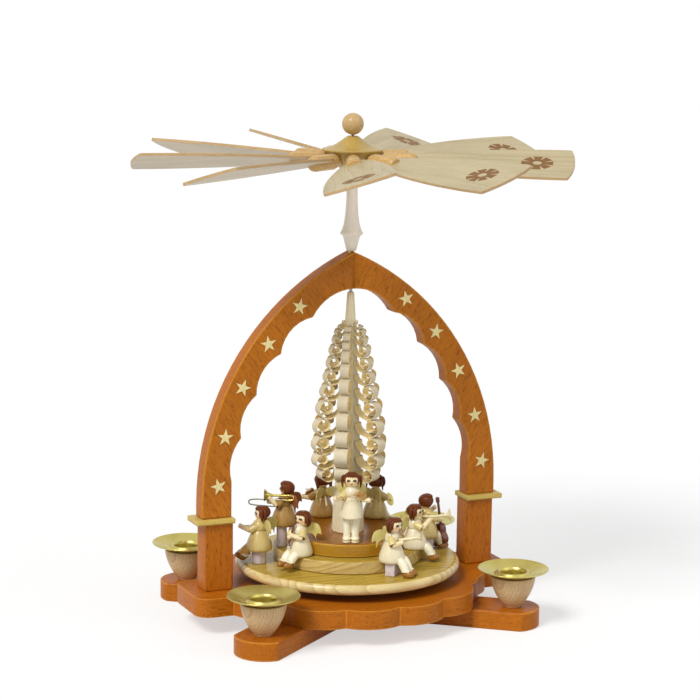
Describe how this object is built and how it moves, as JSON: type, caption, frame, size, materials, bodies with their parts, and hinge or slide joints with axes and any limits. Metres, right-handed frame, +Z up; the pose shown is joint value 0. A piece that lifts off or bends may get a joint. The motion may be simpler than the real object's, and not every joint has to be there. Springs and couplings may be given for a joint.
{
  "type": "christmas pyramid",
  "caption": "Wooden Christmas pyramid with a bladed rotor over a scalloped arch, music-making angels round a curled shaving tree, and brass candle dishes.",
  "frame": {"origin": "on the rotor's axis, at table level, on the flat underside of the crossing boards", "axes": "+Z straight up along the rotor's axis, -Y towards the front, +X to the right along the arch"},
  "size_m": [0.4127, 0.4109, 0.4811],
  "materials": {
    "cherry": "red-brown stain under satin lacquer",
    "pale_wood": "natural wood, satin",
    "honey_wood": "honey stain, satin",
    "shaving": "raw shaved lime wood",
    "blade_wood": "raw ash veneer",
    "figure_wood": "natural wood, satin lacquer",
    "lilac_paint": "thin lilac-grey paint",
    "brass": "polished",
    "steel": "brushed"
  },
  "bodies": {
    "base": {"cross_board_lower": "cherry", "cross_board_upper": "cherry", "base_plate": "cherry", "candle_cup_front_left": "pale_wood", "candle_cup_front_right": "pale_wood", "candle_cup_back_left": "pale_wood", "candle_cup_back_right": "pale_wood", "drip_dish_front_left": "brass", "drip_dish_front_right": "brass", "drip_dish_back_left": "brass", "drip_dish_back_right": "brass", "post_left": "cherry", "post_right": "cherry", "collar_left": "pale_wood", "collar_right": "pale_wood", "arch_left": "cherry", "arch_right": "cherry", "bottom_bearing": "brass", "guide_bush": "brass", "movement_frame": "steel", "comb": "steel"},
    "rotor": {"spindle_rod": "steel", "turntable_disc": "pale_wood", "step_ring": "pale_wood", "honey_disc": "honey_wood", "shaving_tree": "shaving", "spindle_sleeve": "pale_wood", "rotor_hub": "pale_wood", "finial_ball": "pale_wood", "angel_standing": "figure_wood", "angel_flute": "figure_wood", "angel_singer": "figure_wood", "angel_trombone": "figure_wood", "angel_fiddle": "figure_wood", "angel_cymbals": "figure_wood", "angel_horn": "figure_wood", "angel_trumpet": "figure_wood", "angel_bass": "figure_wood", "trombone": "brass", "double_bass": "honey_wood", "stool_singer": "lilac_paint", "stool_trombone": "lilac_paint", "stool_horn": "lilac_paint", "stool_bass": "lilac_paint"},
    "blade_1": {"blade_1": "blade_wood"},
    "blade_2": {"blade_2": "blade_wood"},
    "blade_3": {"blade_3": "blade_wood"},
    "blade_4": {"blade_4": "blade_wood"},
    "blade_5": {"blade_5": "blade_wood"},
    "blade_6": {"blade_6": "blade_wood"},
    "blade_7": {"blade_7": "blade_wood"},
    "blade_8": {"blade_8": "blade_wood"},
    "blade_9": {"blade_9": "blade_wood"},
    "barrel": {"spring_barrel": "brass"},
    "cylinder": {"pinned_cylinder": "brass"},
    "governor": {"governor": "brass"},
    "key": {"winding_key": "brass"}
  },
  "joints": [
    {"name": "rotor_spin", "type": "hinge", "parent": "base", "child": "rotor", "pos_m": [0, 0, 0.036], "axis": [0, 0, 1], "continuous": true},
    {"name": "blade_1_pitch", "type": "hinge", "parent": "rotor", "child": "blade_1", "pos_m": [0.03392, -0.0212, 0.4376], "axis": [0.848, -0.5299, 0], "range_deg": [-16, 30]},
    {"name": "blade_2_pitch", "type": "hinge", "parent": "rotor", "child": "blade_2", "pos_m": [0.03961, 0.00557, 0.4376], "axis": [0.9903, 0.1392, 0], "range_deg": [-16, 30]},
    {"name": "blade_3_pitch", "type": "hinge", "parent": "rotor", "child": "blade_3", "pos_m": [0.02677, 0.02973, 0.4376], "axis": [0.6691, 0.7431, 0], "range_deg": [-16, 30]},
    {"name": "blade_4_pitch", "type": "hinge", "parent": "rotor", "child": "blade_4", "pos_m": [0.0014, 0.03998, 0.4376], "axis": [0.0349, 0.9994, 0], "range_deg": [-16, 30]},
    {"name": "blade_5_pitch", "type": "hinge", "parent": "rotor", "child": "blade_5", "pos_m": [-0.02463, 0.03152, 0.4376], "axis": [-0.6157, 0.788, 0], "range_deg": [-16, 30]},
    {"name": "blade_6_pitch", "type": "hinge", "parent": "rotor", "child": "blade_6", "pos_m": [-0.03913, 0.00832, 0.4376], "axis": [-0.9781, 0.2079, 0], "range_deg": [-16, 30]},
    {"name": "blade_7_pitch", "type": "hinge", "parent": "rotor", "child": "blade_7", "pos_m": [-0.03532, -0.01878, 0.4376], "axis": [-0.8829, -0.4695, 0], "range_deg": [-16, 30]},
    {"name": "blade_8_pitch", "type": "hinge", "parent": "rotor", "child": "blade_8", "pos_m": [-0.01498, -0.03709, 0.4376], "axis": [-0.3746, -0.9272, 0], "range_deg": [-16, 30]},
    {"name": "blade_9_pitch", "type": "hinge", "parent": "rotor", "child": "blade_9", "pos_m": [0.01236, -0.03804, 0.4376], "axis": [0.309, -0.9511, 0], "range_deg": [-16, 30]},
    {"name": "barrel_spin", "type": "hinge", "parent": "base", "child": "barrel", "pos_m": [-0.011, 0.08, 0.0253], "axis": [0, 1, 0], "continuous": true},
    {"name": "cylinder_spin", "type": "hinge", "parent": "base", "child": "cylinder", "pos_m": [0.0011, 0.08, 0.0253], "axis": [0, 1, 0], "continuous": true},
    {"name": "governor_spin", "type": "hinge", "parent": "base", "child": "governor", "pos_m": [0.016, 0.096, 0.0253], "axis": [0, 0, 1], "continuous": true},
    {"name": "winding_key_turn", "type": "hinge", "parent": "base", "child": "key", "pos_m": [-0.011, 0.125, 0.0253], "axis": [0, 1, 0], "continuous": true}
  ],
  "couplings": [
    {"joint": "cylinder_spin", "follows": "barrel_spin", "ratio": -1.4286},
    {"joint": "governor_spin", "follows": "barrel_spin", "ratio": 6}
  ]
}
